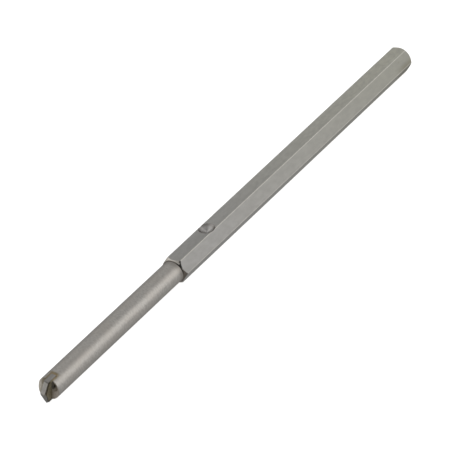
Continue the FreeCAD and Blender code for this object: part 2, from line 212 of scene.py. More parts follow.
def across_plate(name, outline, start, end):
    """Prism through the plate's thickness over an outline of (along, up) points."""
    return prism(name, outline, start, end, ON_PLATE @ ALONG_AND_UP)


def up_plate(name, outline, start, end):
    """Prism up the plate's width over an outline of (along, across) points."""
    return prism(name, outline, start, end, ON_PLATE @ ALONG_AND_ACROSS)


def end_sleeve(name):
    """Solid cylinder over the point, of the circle that the plate's ends are ground to."""
    ends = [(POINT_X - OVERRUN, 0), (POINT_X - OVERRUN, PLATE_END_R)]
    ends += [(SLOT_END_X + OVERRUN, PLATE_END_R), (SLOT_END_X + OVERRUN, 0)]
    return lathe(name, ends, BAR_STEPS, ON_PLATE @ Matrix.Translation((0, 0, -PLATE_DROP)))


def bevel_edges(obj, chosen, width, segments):
    """Round the edges that the test picks; the test gets a bmesh edge."""
    bm = bmesh.new()
    bm.from_mesh(obj.data)
    bmesh.ops.remove_doubles(bm, verts=bm.verts, dist=0.002 * MM)
    edges = [edge for edge in bm.edges if len(edge.link_faces) == 2 and chosen(edge)]
    bmesh.ops.bevel(bm, geom=edges, offset=width, segments=segments, affect="EDGES", clamp_overlap=True)
    bm.to_mesh(obj.data)
    bm.free()


def sharp_by_angle(obj, limit):
    """Keep smooth only the edges that turn less than the limit."""
    bm = bmesh.new()
    bm.from_mesh(obj.data)
    for edge in bm.edges:
        edge.smooth = len(edge.link_faces) == 2 and edge.calc_face_angle(0) < limit
    bm.to_mesh(obj.data)
    bm.free()


def dress(obj, *materials):
    """Give an object its materials, with the first on every face, and smooth shading."""
    obj.data.materials.clear()
    for material in materials:
        obj.data.materials.append(material)
    for face in obj.data.polygons:
        face.use_smooth = True
        face.material_index = 0


# ---------------------------------------------------------------------------------------
# Node helpers
# ---------------------------------------------------------------------------------------
class Nodes:
    """Short way to write a material's node tree."""

    def __init__(self, name):
        self.material = bpy.data.materials.new(name)
        self.material.use_nodes = True
        self.tree = self.material.node_tree
        self.tree.nodes.clear()
        self.output = self.tree.nodes.new("ShaderNodeOutputMaterial")
        self.shader = self.tree.nodes.new("ShaderNodeBsdfPrincipled")
        self.tree.links.new(self.shader.outputs[0], self.output.inputs["Surface"])

    def add(self, kind, **settings):
        node = self.tree.nodes.new(kind)
        for key, value in settings.items():
            setattr(node, key, value)
        return node

    def link(self, source, target):
        self.tree.links.new(source, target)

    def feed(self, socket, value):
        if hasattr(value, "links"):
            self.link(value, socket)
        else:
            socket.default_value = value

    def place(self, scale=(1, 1, 1), turn=(0, 0, 0)):
        """Object coordinates in millimetres about the bar's axis, stretched as asked."""
        coordinates = self.add("ShaderNodeTexCoord")
        mapping = self.add("ShaderNodeMapping", vector_type="POINT")
        mapping.inputs["Scale"].default_value = [1000 * s for s in scale]
        mapping.inputs["Rotation"].default_value = turn
        self.link(coordinates.outputs["Object"], mapping.inputs["Vector"])
        return mapping.outputs[0]

    def noise(self, vector, scale, detail=3.0, roughness=0.55, distortion=0.0):
        node = self.add("ShaderNodeTexNoise")
        node.inputs["Scale"].default_value = scale
        node.inputs["Detail"].default_value = detail
        node.inputs["Roughness"].default_value = roughness
        node.inputs["Distortion"].default_value = distortion
        self.link(vector, node.inputs["Vector"])
        return node.outputs["Fac"]

    def math(self, operation, *values):
        node = self.add("ShaderNodeMath", operation=operation)
        for index, value in enumerate(values):
            self.feed(node.inputs[index], value)
        return node.outputs[0]

    def ramp(self, value, low, high, out_low=0.0, out_high=1.0, smooth=True):
        node = self.add("ShaderNodeMapRange", clamp=True)
        if smooth:
            node.interpolation_type = "SMOOTHSTEP"
        self.feed(node.inputs["Value"], value)
        numbers = {"From Min": low, "From Max": high, "To Min": out_low, "To Max": out_high}
        for socket, number in numbers.items():
            node.inputs[socket].default_value = number
        return node.outputs[0]

    def spread(self, noise, out_low=0.0, out_high=1.0):
        """The middle of a noise's range, where nearly all of it lies, spread over the output."""
        return self.ramp(noise, 0.3, 0.7, out_low, out_high)

    def mix(self, factor, first, second):
        node = self.add("ShaderNodeMix", data_type="RGBA")
        self.feed(node.inputs["Factor"], factor)
        for socket, value in ((node.inputs[6], first), (node.inputs[7], second)):
            if hasattr(value, "links"):
                self.link(value, socket)
            else:
                socket.default_value = (*value, 1.0)
        return node.outputs[2]

    def tones(self, noise, first, second):
        """Colour that wanders between two tones with the noise."""
        return self.mix(self.spread(noise), first, second)

    def bump(self, height, strength, distance):
        node = self.add("ShaderNodeBump")
        node.inputs["Strength"].default_value = strength
        node.inputs["Distance"].default_value = distance
        self.link(height, node.inputs["Height"])
        return node.outputs[0]

    def position(self):
        """X, and the height and side distance from the bar's axis, in metres."""
        coordinates = self.add("ShaderNodeTexCoord")
        split = self.add("ShaderNodeSeparateXYZ")
        self.link(coordinates.outputs["Object"], split.inputs[0])
        return split.outputs[0], split.outputs[1], self.math("SUBTRACT", split.outputs[2], AXIS_Z)

    def heading(self):
        """Angle round the bar in degrees, from the top flat towards the near side."""
        _, side, height = self.position()
        turn = self.math("ARCTAN2", self.math("MULTIPLY", side, -1.0), height)
        return self.math("MULTIPLY", turn, 180 / math.pi)

    def plate_position(self):
        """X, and the distances across and up the plate from the bar's axis, in metres."""
        along, side, height = self.position()
        cos, sin = math.cos(PLATE_TURN), math.sin(PLATE_TURN)
        across = self.math("ADD", self.math("MULTIPLY", side, cos), self.math("MULTIPLY", height, sin))
        up = self.math("SUBTRACT", self.math("MULTIPLY", height, cos), self.math("MULTIPLY", side, sin))
        return along, across, up

    def near(self, value, middle, reach):
        """1 where the value is at the middle, falling to 0 at the reach on both sides."""
        away = self.math("ABSOLUTE", self.math("SUBTRACT", value, middle))
        return self.ramp(away, 0.0, reach, 1.0, 0.0)

    def both(self, *masks):
        product = masks[0]
        for mask in masks[1:]:
            product = self.math("MULTIPLY", product, mask)
        return product

    def average(self, first, second):
        return self.math("ADD", self.math("MULTIPLY", first, 0.5), self.math("MULTIPLY", second, 0.5))

    def distance(self, first, second):
        squares = (self.math("MULTIPLY", first, first), self.math("MULTIPLY", second, second))
        return self.math("SQRT", self.math("ADD", *squares))

    def brushed(self, amount, turn):
        """Fine marks along the bar, or round it with a quarter turn."""
        self.shader.inputs["Anisotropic"].default_value = amount
        self.shader.inputs["Anisotropic Rotation"].default_value = turn
        tangent = self.add("ShaderNodeTangent", direction_type="RADIAL", axis="X")
        self.link(tangent.outputs[0], self.shader.inputs["Tangent"])

    def finish(self, base, metallic, roughness, height, strength, distance):
        """Join everything to the shader; the last three are the bump's."""
        self.link(base, self.shader.inputs["Base Color"])
        self.shader.inputs["Metallic"].default_value = metallic
        self.link(roughness, self.shader.inputs["Roughness"])
        self.link(self.bump(height, strength, distance), self.shader.inputs["Normal"])
        return self.material


# ---------------------------------------------------------------------------------------
# Materials
# ---------------------------------------------------------------------------------------
def turned_steel():
    """Nose: ground round, warm grey, gold and olive heat tint beside the slot."""
    n = Nodes("turned_steel")
    rings = n.noise(n.place((1, 0.05, 0.05)), 1.6, 4.0, 0.6)
    speckle = n.noise(n.place((1, 0.35, 0.35)), 2.4, 3.0, 0.6)
    cloud = n.noise(n.place((0.4, 1, 1)), 0.25, 3.0)
    uneven = n.noise(n.place(), 0.8, 3.0)
    along, across, up = n.plate_position()
    on_top = n.ramp(up, 0.0, 0.8 * MM)

    base = n.tones(speckle, (0.50, 0.48, 0.45), (0.685, 0.66, 0.62))
    base = n.mix(n.ramp(cloud, 0.35, 0.7, 0.0, 0.5), base, (0.59, 0.55, 0.50))
    # painted shade: the nose darkens towards the corner at the shoulder
    painted_shoulder_shade = n.ramp(along, SHOULDER_X - 3.5 * MM, SHOULDER_X - 0.3 * MM, 0.0, 0.5)
    base = n.mix(painted_shoulder_shade, base, (0.28, 0.25, 0.22))

    outside = n.math("SUBTRACT", n.math("ABSOLUTE", across), SLOT_HALF)
    beyond = n.math("MAXIMUM", outside, n.math("SUBTRACT", along, SLOT_END_X))
    patchy = n.ramp(uneven, 0.3, 0.6, 0.35, 0.9)
    tint = n.both(n.ramp(beyond, 0.15 * MM, 0.75 * MM, 1.0, 0.0), patchy, on_top)
    base = n.mix(tint, base, (0.40, 0.34, 0.23))
    beside_end = n.ramp(across, 1.0 * MM, 1.6 * MM)
    band = n.both(n.near(along, SLOT_END_X, 0.5 * MM), beside_end, on_top, 0.8)
    base = n.mix(band, base, (0.45, 0.34, 0.20))

    n.brushed(0.45, 0.25)
    return n.finish(base, 1.0, n.spread(speckle, 0.46, 0.52), n.average(rings, speckle), 0.3, 0.02 * MM)


def drawn_steel():
    """Hexagon: cold-drawn bar, faint draw lines along it, olive film and stains towards the rear, each flat
    painted lighter or darker for its light, and a painted highlight on the worn edges.
    """
    n = Nodes("drawn_steel")
    lines = n.noise(n.place((0.04, 1, 1)), 2.2, 4.0, 0.6)
    mottle = n.noise(n.place((0.45, 1, 1)), 0.7, 4.0, 0.6, 0.3)
    grain = n.noise(n.place((0.6, 1, 1)), 3.2, 3.0, 0.6)
    blots = n.noise(n.place((0.7, 1, 1)), 0.9, 4.0, 0.65, 0.6)
    along, side, up = n.position()
    heading = n.heading()

    # the three visible flats: top, middle and low, each painted lighter or darker for the light it gets
    upper = n.ramp(n.math("ABSOLUTE", heading), 34.0, 27.0)
    middle = n.both(n.ramp(heading, 27.0, 34.0), n.ramp(heading, 93.0, 87.0))
    # painted shade on the middle flat in front; further back, painted light on the top flat and painted shade
    # on the middle one, over the olive film
    unfilmed_with_flat_shade = n.mix(middle, (0.56, 0.55, 0.53), (0.485, 0.475, 0.46))
    filmed_with_flat_light = n.mix(middle, n.mix(upper, (0.53, 0.52, 0.46), (0.72, 0.71, 0.62)), (0.42, 0.415, 0.365))
    rearward = n.ramp(along, SEAT_X, REAR_X - 10 * MM, smooth=False)
    base = n.mix(rearward, unfilmed_with_flat_shade, filmed_with_flat_light)
    base = n.mix(n.ramp(mottle, 0.25, 0.75, 0.36, 0.0), base, (0.40, 0.395, 0.37))

    near_rear = n.ramp(along, REAR_X - 40 * MM, REAR_X - 3 * MM, 0.0, 0.8)
    spots = n.both(n.ramp(blots, 0.60, 0.74, 0.0, 0.6), near_rear)
    base = n.mix(spots, base, (0.30, 0.265, 0.20))
    base = n.mix(n.ramp(grain, 0.4, 0.75, 0.0, 0.12), base, (0.36, 0.355, 0.34))
    dark_patch = n.both(n.ramp(along, REAR_X - 14 * MM, REAR_X - 5 * MM), n.ramp(heading, 60.0, 84.0), 0.5)
    base = n.mix(dark_patch, base, (0.25, 0.23, 0.17))
    # worn edges, with a painted highlight along them in the base colour
    worn_and_highlit_edge = n.ramp(n.distance(side, up), CORNER_R - 0.17 * MM, CORNER_R - 0.06 * MM, 0.0, 0.65)
    base = n.mix(worn_and_highlit_edge, base, (0.67, 0.655, 0.595))

    n.brushed(0.3, 0.0)
    rough = n.math("SUBTRACT", n.spread(mottle, 0.60, 0.56), n.math("MULTIPLY", worn_and_highlit_edge, 0.1))
    return n.finish(base, 1.0, rough, n.average(lines, grain), 0.2, 0.02 * MM)


def drilled_steel():
    """Seat: drilled cone, rings round its own upright axis, darker at its rim with rust tone and painted
    shade, most on the near side.
    """
    n = Nodes("drilled_steel")
    cloud = n.noise(n.place(), 0.9, 3.0)
    along, side, _ = n.position()
    out = n.math("SUBTRACT", along, SEAT_X)
    radius = n.distance(out, side)
    ring_pitch = 0.28 * MM
    rings = n.math("SINE", n.math("MULTIPLY", radius, 2 * math.pi / ring_pitch))

    base = n.tones(cloud, (0.46, 0.445, 0.43), (0.57, 0.555, 0.535))
    # rust tone and painted shade at the rim, strongest on the near side
    at_rim = n.ramp(radius, 1.9 * MM, SEAT_R - 0.35 * MM)
    near_side = n.ramp(n.math("ADD", side, out), 2.4 * MM, -1.6 * MM, 0.45, 1.0)
    rim_rust_and_shade = n.both(at_rim, n.ramp(cloud, 0.3, 0.6, 0.5, 1.0), near_side, 0.95)
    base = n.mix(rim_rust_and_shade, base, (0.10, 0.075, 0.055))

    n.shader.inputs["Anisotropic"].default_value = 0.5
    n.shader.inputs["Anisotropic Rotation"].default_value = 0.25
    tangent = n.add("ShaderNodeCombineXYZ")
    n.link(n.math("MULTIPLY", side, -1.0), tangent.inputs[0])
    n.link(out, tangent.inputs[1])
    unit = n.add("ShaderNodeVectorMath", operation="NORMALIZE")
    n.link(tangent.outputs[0], unit.inputs[0])
    n.link(unit.outputs[0], n.shader.inputs["Tangent"])
    return n.finish(base, 1.0, n.spread(cloud, 0.22, 0.30), rings, 0.2, 0.008 * MM)


def shoulder_steel():
    """Step face of the shoulder: dark brown, with painted shade in near black on the near side."""
    n = Nodes("shoulder_steel")
    cloud = n.noise(n.place(), 1.2, 4.0, 0.6)
    heading = n.heading()
    brown = n.tones(cloud, (0.20, 0.175, 0.15), (0.30, 0.27, 0.235))
    # painted shade: near black on the near side of the step
    near_side = n.both(n.ramp(heading, 12.0, 34.0), n.ramp(heading, 96.0, 62.0))
    painted_dark = n.both(near_side, n.ramp(cloud, 0.2, 0.5, 0.6, 0.95))
    base = n.mix(painted_dark, brown, (0.035, 0.033, 0.03))
    return n.finish(base, 0.8, n.spread(cloud, 0.45, 0.6), cloud, 0.3, 0.03 * MM)


def chamfer_steel():
    """Chamfer cones of both ends: the front one with a painted highlight on top, a painted dark reflection
    beside it and painted shade low down; the rear one dull.
    """
    n = Nodes("chamfer_steel")
    rings = n.noise(n.place((1, 0.1, 0.1)), 4.0, 3.0, 0.6)
    along, _, _ = n.position()
    heading = n.heading()
    at_shoulder = n.ramp(along, SHOULDER_X + 3 * MM, SHOULDER_X + 2 * MM)
    # painted highlight on the front chamfer; the rear one keeps its dull tone
    painted_highlight = n.tones(rings, (0.76, 0.71, 0.64), (0.88, 0.84, 0.77))
    dull = n.tones(rings, (0.42, 0.395, 0.32), (0.50, 0.47, 0.39))
    base = n.mix(at_shoulder, dull, painted_highlight)
    # painted dark reflection where the front chamfer turns towards the near side
    corner = n.both(n.ramp(heading, 26.0, 30.0), n.ramp(along, SHOULDER_X + 0.5 * MM, SHOULDER_X + 0.7 * MM))
    beyond = n.math("MAXIMUM", n.ramp(heading, 34.0, 39.0), corner)
    painted_dark = n.both(at_shoulder, beyond, n.ramp(heading, 66.0, 50.0), 0.9)
    base = n.mix(painted_dark, base, (0.04, 0.037, 0.034))
    # painted shade low down on the front chamfer
    brown = n.both(at_shoulder, n.ramp(heading, 60.0, 66.0), n.ramp(heading, 150.0, 130.0))
    base = n.mix(brown, base, (0.25, 0.22, 0.19))
    return n.finish(base, 1.0, n.spread(rings, 0.38, 0.48), rings, 0.3, 0.02 * MM)


def end_steel():
    """Front faces of the bar: filed metal, with painted light on the far side, painted shade in the near
    hollow and a painted shadow of the plate above it.
    """
    n = Nodes("end_steel")
    cloud = n.noise(n.place(), 0.9, 4.0, 0.6)
    marks = n.noise(n.place((1, 0.2, 1), turn=(PLATE_TURN, 0, 0)), 4.0, 3.0)
    streaks = n.noise(n.place((1, 1.6, 0.4), turn=(PLATE_TURN, 0, 0)), 0.9, 2.0)
    _, across, up = n.plate_position()

    # painted light: the far face is painted paler than the near one
    far = n.ramp(across, -1 * MM, 1 * MM)
    base = n.mix(far, (0.54, 0.49, 0.43), (0.78, 0.73, 0.65))
    # darker brown on the far face next to the plate
    dark_patch = n.both(far, n.ramp(across, 3.6 * MM, 2.6 * MM), n.ramp(cloud, 0.25, 0.5, 0.6, 1.0), 0.9)
    base = n.mix(dark_patch, base, (0.25, 0.215, 0.145))

    # painted shade over the near hollow, from the plate to a slanting line across the near face
    from_side = n.math("MULTIPLY", n.math("ADD", across, 1.7 * MM), 0.85)
    from_below = n.math("MULTIPLY", n.math("ADD", up, 0.1 * MM), 0.53)
    inward = n.ramp(n.math("ADD", from_side, from_below), -0.2 * MM, 0.5 * MM)
    painted_shade = n.both(n.ramp(across, -0.4 * MM, -1.2 * MM), inward, n.ramp(streaks, 0.35, 0.6, 0.55, 1.0))
    base = n.mix(painted_shade, base, (0.06, 0.057, 0.053))
    # painted shadow of the plate high on the near face
    brown = n.both(n.ramp(across, 0.0, -1.0 * MM), n.ramp(up, 2.0 * MM, 2.8 * MM), 0.8)
    base = n.mix(brown, base, (0.20, 0.17, 0.115))
    base = n.mix(n.ramp(cloud, 0.35, 0.7, 0.0, 0.3), base, (0.33, 0.27, 0.20))
    return n.finish(base, 0.9, n.spread(marks, 0.42, 0.55), marks, 0.4, 0.03 * MM)


def carbide():
    """Ground tungsten carbide: mid grey, brown film on its near face, pale worn facets, painted shade on its
    lower half.
    """
    n = Nodes("carbide")
    along, across, up = n.plate_position()
    grit = n.noise(n.place((1, 1, 0.15), turn=(PLATE_TURN, 0, 0)), 5.0, 3.0, 0.6)
    cloud = n.noise(n.place(), 0.6, 4.0, 0.6)
    base = n.tones(cloud, (0.47, 0.45, 0.42), (0.58, 0.555, 0.515))
    # painted shade on the plate's lower half
    lower = n.both(n.ramp(up, 0.1 * MM, -0.9 * MM), 0.8)
    base = n.mix(lower, base, (0.27, 0.265, 0.25))
    outer = n.both(n.ramp(up, 4.1 * MM, 4.3 * MM), n.ramp(along, POINT_X + 2.4 * MM, POINT_X + 2.8 * MM), 0.6)
    base = n.mix(outer, base, (0.31, 0.295, 0.275))
    land = n.both(n.ramp(up, 3.9 * MM, 4.1 * MM), n.near(along, POINT_X + 2.35 * MM, 0.5 * MM), 0.75)
    base = n.mix(land, base, (0.13, 0.125, 0.12))
    near_back = n.both(n.ramp(across, -0.35 * MM, -0.8 * MM), n.ramp(along, RIM_X, RIM_X + 1 * MM), 0.5)
    base = n.mix(near_back, base, (0.56, 0.54, 0.52))
    film = n.both(n.ramp(across, -0.90 * MM, -0.97 * MM), n.ramp(up, -1.2 * MM, 0.2 * MM))
    base = n.mix(n.both(film, n.ramp(cloud, 0.2, 0.5, 0.7, 1.0)), base, (0.21, 0.185, 0.145))
    return n.finish(base, 0.9, n.spread(grit, 0.40, 0.50), grit, 0.3, 0.02 * MM)


def braze_metal():
    """Braze filler: dull gold where it was dressed flush, olive brown and pitted on the plate's face, with
    painted shade at its foot and in the corner by the near hollow.
    """
    n = Nodes("braze_metal")
    cloud = n.noise(n.place(), 1.0, 4.0, 0.6, 0.4)
    pits = n.noise(n.place(), 3.0, 3.0, 0.6)
    patches = n.noise(n.place(), 0.7, 2.0)
    along, across, up = n.plate_position()
    gold = n.tones(cloud, (0.34, 0.275, 0.18), (0.48, 0.375, 0.23))
    olive = n.tones(cloud, (0.22, 0.19, 0.125), (0.33, 0.29, 0.195))
    ahead = n.ramp(along, RIM_X + 0.6 * MM, RIM_X + 0.1 * MM)
    base = n.mix(ahead, gold, olive)
    base = n.mix(n.ramp(patches, 0.60, 0.72, 0.0, 0.8), base, (0.13, 0.105, 0.07))
    # painted shade: near black at the coat's foot, on the underside
    foot = n.both(ahead, n.ramp(up, -3.4 * MM, -4.1 * MM))
    base = n.mix(foot, base, (0.07, 0.055, 0.04))
    # painted shade in the concave corner beside the near hollow
    painted_shade = n.both(ahead, n.ramp(across, -1.35 * MM, -1.7 * MM), n.ramp(up, 0.3 * MM, 1.2 * MM), 0.8)
    base = n.mix(painted_shade, base, (0.07, 0.063, 0.055))
    return n.finish(base, 0.8, n.spread(pits, 0.42, 0.56), pits, 0.4, 0.05 * MM)


# ---------------------------------------------------------------------------------------
# Steel bar
# ---------------------------------------------------------------------------------------
def hexagon_outline():
    """Across-flats hexagon with a flat on top and its six edges rolled off."""
    outline = []
    reach = (HALF_FLATS - EDGE_ROUND) / math.cos(math.pi / 6)
    for corner in range(6):
        heading = 60 * corner
        centre = (reach * math.cos(math.radians(heading)), reach * math.sin(math.radians(heading)))
        outline += arc(centre, EDGE_ROUND, heading - 30, heading + 30, 6)
    return outline


def bar_profile():
    """Turned outline of the whole bar, wide enough at the shank to leave the hexagon whole."""
    wide = CORNER_R + OVERRUN
    taper = (wide - ANNULUS_R) / math.tan(CORNER_TAPER)
    rear_run = (wide - REAR_FACE_R) / math.tan(REAR_TAPER)
    profile = [(STOCK_X, 0)]
    span = SHOULDER_X - SHOULDER_FILLET - STOCK_X
    for k in range(NOSE_RINGS):
        profile.append((STOCK_X + span * k / NOSE_RINGS, NOSE_R))
    centre = (SHOULDER_X - SHOULDER_FILLET, NOSE_R + SHOULDER_FILLET)
    profile += arc(centre, SHOULDER_FILLET, -90, 0, 5)
    profile += [(SHOULDER_X, ANNULUS_R), (SHOULDER_X + taper, wide)]
    profile += [(REAR_X - rear_run, wide), (REAR_X, REAR_FACE_R), (REAR_X, 0)]
    return profile


def slot_outline(front):
    """U of the slot as (along, across) points, open at the front."""
    low = arc((SLOT_END_X - SLOT_CORNER, -SLOT_HALF + SLOT_CORNER), SLOT_CORNER, -90, 0, 8)
    high = arc((SLOT_END_X - SLOT_CORNER, SLOT_HALF - SLOT_CORNER), SLOT_CORNER, 0, 90, 8)
    return [(front, -SLOT_HALF)] + low + high + [(front, SLOT_HALF)]


def steel_front(name, side, lean):
    """Cutter for the steel's front face on one side of the plate: square above the axis, leaning below."""
    ahead = POINT_X - OVERRUN
    foot = RIM_X - PAST_NOSE * math.tan(lean)
    outline = [(ahead, PAST_NOSE), (RIM_X, PAST_NOSE), (RIM_X, 0), (foot, -PAST_NOSE), (ahead, -PAST_NOSE)]
    return across_plate(name, outline, 0, side * PAST_BAR)


def build_bar():
    """The nose and the hexagon are cut while each is still plain, and then intersected."""
    bar = lathe("bar", bar_profile(), BAR_STEPS, ON_AXIS)
    slot = up_plate("slot_cutter", slot_outline(STOCK_X - OVERRUN), -PAST_BAR, PAST_BAR)
    combine(bar, slot, "DIFFERENCE")
    combine(bar, steel_front("near_front", -1, NEAR_LEAN), "DIFFERENCE")
    combine(bar, steel_front("far_front", 1, FAR_LEAN), "DIFFERENCE")
    bevel_edges(bar, on_front_rim, RIM_BREAK, 3)
    combine(bar, hollow_cutter(), "DIFFERENCE")
    hexagon = prism("hexagon", hexagon_outline(), STOCK_X - OVERRUN, REAR_X + OVERRUN, ON_AXIS)
    combine(hexagon, seat_cutter(), "DIFFERENCE")
    combine(bar, hexagon, "INTERSECT")
    return bar


def hollow_cutter():
    """Ball that leaves the shallow hollow in the near front face."""
    ball = (HOLLOW_R ** 2 + HOLLOW_DEEP ** 2) / (2 * HOLLOW_DEEP)
    middle = RIM_X + HOLLOW_DEEP - ball
    beside = ON_PLATE @ Matrix.Translation((0, -HOLLOW_SIDE, HOLLOW_RISE))
    return lathe("hollow_cutter", arc((middle, 0), ball, 180, 0, 24), HOLLOW_STEPS, beside)


def seat_cutter():
    """Drill cone with a blunted tip, its mouth very slightly worn open."""
    depth = SEAT_R / math.tan(SEAT_HALF_ANGLE)
    wide = SEAT_R + SEAT_FLARE
    cone = [(-depth, 0), (-depth + 0.03 * MM, 0.12 * MM), (-0.06 * MM, SEAT_R - 0.1 * MM)]
    cone += [(0.04 * MM, wide), (OVERRUN, wide), (OVERRUN, 0)]
    upright = Matrix.Translation((SEAT_X, 0, bar_high[2])) @ Matrix.Rotation(-math.pi / 2, 4, "Y")
    return lathe("seat_cutter", cone, SEAT_STEPS, upright)


def on_front_rim(edge):
    """Edges between the steel's front faces and the outside of the nose."""
    outside, front = sorted(abs(face.normal.x) for face in edge.link_faces)
    off_axis = [math.hypot(v.co.y, v.co.z - AXIS_Z) for v in edge.verts]
    ahead = max(v.co.x for v in edge.verts) < RIM_X + 0.1 * MM
    return ahead and min(off_axis) > NOSE_R - 0.05 * MM and front > 0.8 and outside < 0.1


def dress_bar(bar):
    """Each zone of the bar gets the finish of the cut that made it."""
    dress(bar, drawn_steel(), turned_steel(), drilled_steel(), end_steel(), shoulder_steel(), chamfer_steel())
    turned, drilled, end, shoulder, chamfer = range(1, 6)
    for face in bar.data.polygons:
        where = face.center
        facing = abs(face.normal.x)
        off_axis = math.hypot(where.y, where.z - AXIS_Z)
        off_seat = math.hypot(where.x - SEAT_X, where.y)
        below_flat = where.z < bar_high[2] - ON_SURFACE and off_axis > 2 * MM
        if where.x < RIM_X + 2 * MM and (facing > 0.2 or off_axis < NOSE_R - 0.2 * MM):
            face.material_index = end
        elif where.x < SHOULDER_X - 0.85 * SHOULDER_FILLET:
            face.material_index = turned
        elif where.x < SHOULDER_X + ON_SURFACE:
            face.material_index = shoulder
        elif off_seat < SEAT_R + 0.1 * MM and below_flat:
            face.material_index = drilled
        elif facing > (0.3 if where.x < SEAT_X else 0.9):
            face.material_index = chamfer
    sharp_by_angle(bar, BAR_CREASE)


# ---------------------------------------------------------------------------------------
# Carbide plate
# ---------------------------------------------------------------------------------------
def facet_cutter(name, side, near, far):
    """Waste in front of one flank facet; near and far say how far each edge is set back."""
    ahead = -LOWER_RELIEF - OVERRUN
    run_on = (far - near) / 2
    outline = [(near - run_on, -PAST_PLATE), (near, -PLATE_HALF), (far, PLATE_HALF)]
    outline += [(far + run_on, PAST_PLATE), (ahead, PAST_PLATE), (ahead, -PAST_PLATE)]
    tilt = Matrix.Rotation(side * (math.pi / 2 - UPPER_SLOPE), 4, "Y")
    place = ON_PLATE @ Matrix.Translation((POINT_X, 0, 0)) @ tilt @ ALONG_AND_ACROSS
    return prism(name, outline, min(0, side * PAST_NOSE), max(0, side * PAST_NOSE), place)


def upper_land():
    """Waste outside the narrow land between the upper flank and the plate's outer end."""
    reach = PLATE_END_R - PLATE_DROP
    corner = (POINT_X + reach / math.tan(UPPER_SLOPE), reach)
    on_flank = (corner[0] - PLATE_LAND * math.cos(UPPER_SLOPE), reach - PLATE_LAND * math.sin(UPPER_SLOPE))
    on_end = (corner[0] + PLATE_LAND, reach)
    slope = (on_end[1] - on_flank[1]) / (on_end[0] - on_flank[0])
    low = (on_flank[0] - OVERRUN, on_flank[1] - OVERRUN * slope)
    high = (on_end[0] + OVERRUN, on_end[1] + OVERRUN * slope)
    outline = [low, high, (low[0], high[1])]
    return across_plate("upper_land", outline, -PAST_PLATE, PAST_PLATE)


def build_plate():
    """Stock with two flanks, ground to the circle at its ends, then the relief of each flank."""
    wide = STOCK_REACH
    outline = [(POINT_X, 0), (POINT_X + wide / math.tan(UPPER_SLOPE), wide), (PLATE_BACK_X, wide),
               (PLATE_BACK_X, -wide), (POINT_X + wide / math.tan(LOWER_SLOPE), -wide)]
    plate = across_plate("plate", outline, -PLATE_HALF, PLATE_HALF)
    combine(plate, end_sleeve("plate_sleeve"), "INTERSECT")
    combine(plate, facet_cutter("upper_facet", 1, 0, FLANK_RELIEF), "DIFFERENCE")
    combine(plate, facet_cutter("lower_facet", -1, -LOWER_RELIEF, 0), "DIFFERENCE")
    combine(plate, upper_land(), "DIFFERENCE")
    bevel_edges(plate, lambda edge: edge.calc_face_angle(0) > BAR_CREASE, PLATE_EDGE, 2)
    dress(plate, carbide())
    sharp_by_angle(plate, PLATE_CREASE)
    return plate


# ---------------------------------------------------------------------------------------
# Braze filler
# ---------------------------------------------------------------------------------------
def coat_edge(height):
    """How far back the coat on the near face starts, at a height up the plate."""
    lean = COAT_UPPER if height > 0 else COAT_LOWER
    ripple = sum(high * math.sin(height / (long * MM) + start) for high, long, start in COAT_WAVES)
    return COAT_X + abs(height) * math.tan(lean) + (COAT_BACK + ripple) * MM


def build_braze():
    """Filler as one melted mass: the parts are joined square, remeshed and smoothed."""
    braze = up_plate("braze", slot_outline(COAT_X), -STOCK_REACH, STOCK_REACH)
    combine(braze, bead_stock(), "UNION")
    combine(braze, end_sleeve("braze_sleeve"), "INTERSECT")
    bed = [(COAT_X - OVERRUN, -PLATE_HALF), (PLATE_BACK_X, -PLATE_HALF)]
    bed += [(PLATE_BACK_X, PLATE_HALF), (COAT_X - OVERRUN, PLATE_HALF)]
    combine(braze, up_plate("bed", bed, -PAST_NOSE, PAST_NOSE), "DIFFERENCE")
    combine(braze, coat_waste(), "DIFFERENCE")
    combine(braze, steel_front("flush_waste", 1, FAR_LEAN), "DIFFERENCE")
    reach = max(math.hypot(v.co.y, v.co.z - AXIS_Z) for v in braze.data.vertices)
    if reach > PLATE_END_R + PLATE_DROP + 0.02 * MM:
        raise RuntimeError("the filler was not ground to the plate's circle")

    remesh = braze.modifiers.new("melt", "REMESH")
    remesh.mode = "VOXEL"
    remesh.voxel_size = MELT_GRAIN
    smooth = braze.modifiers.new("settle", "SMOOTH")
    smooth.factor = 0.5
    smooth.iterations = 3
    apply_modifiers(braze)
    dress(braze, braze_metal())
    return braze


def bead_stock():
    """Bead in the corner between the coat and the near front face, over the upper half."""
    inside = -SLOT_HALF + BEAD_OVERLAP
    bead = [(RIM_X, inside), (RIM_X - BEAD_RISE, inside), (RIM_X - BEAD_RISE, -SLOT_HALF)]
    bead += [(RIM_X - 0.3 * BEAD_RISE, -SLOT_HALF - 0.3 * BEAD_RISE), (RIM_X, -SLOT_HALF - BEAD_RISE)]
    return up_plate("bead", bead, BEAD_START, BEAD_END)


def coat_waste():
    """Waste in front of the coat's wandering edge."""
    heights = [COAT_REACH * (1 - 2 * k / COAT_STEPS) for k in range(COAT_STEPS + 1)]
    waste = [(coat_edge(h), h) for h in heights]
    waste += [(COAT_X - OVERRUN, heights[-1]), (COAT_X - OVERRUN, heights[0])]
    return across_plate("coat_waste", waste, -PAST_NOSE, 0)


# ---------------------------------------------------------------------------------------
# Studio
# ---------------------------------------------------------------------------------------
VIEW_AZIMUTH = math.radians(-53.365)
VIEW_ELEVATION = math.radians(34.396)
VIEW_ROLL = math.radians(-5.977)
VIEW_DISTANCE = 1.2533
VIEW_LENS = 262.5
AIM_RIGHT = -3.173 * MM                      # where the middle of the frame lies beside the bar's middle
AIM_UP = -3.736 * MM


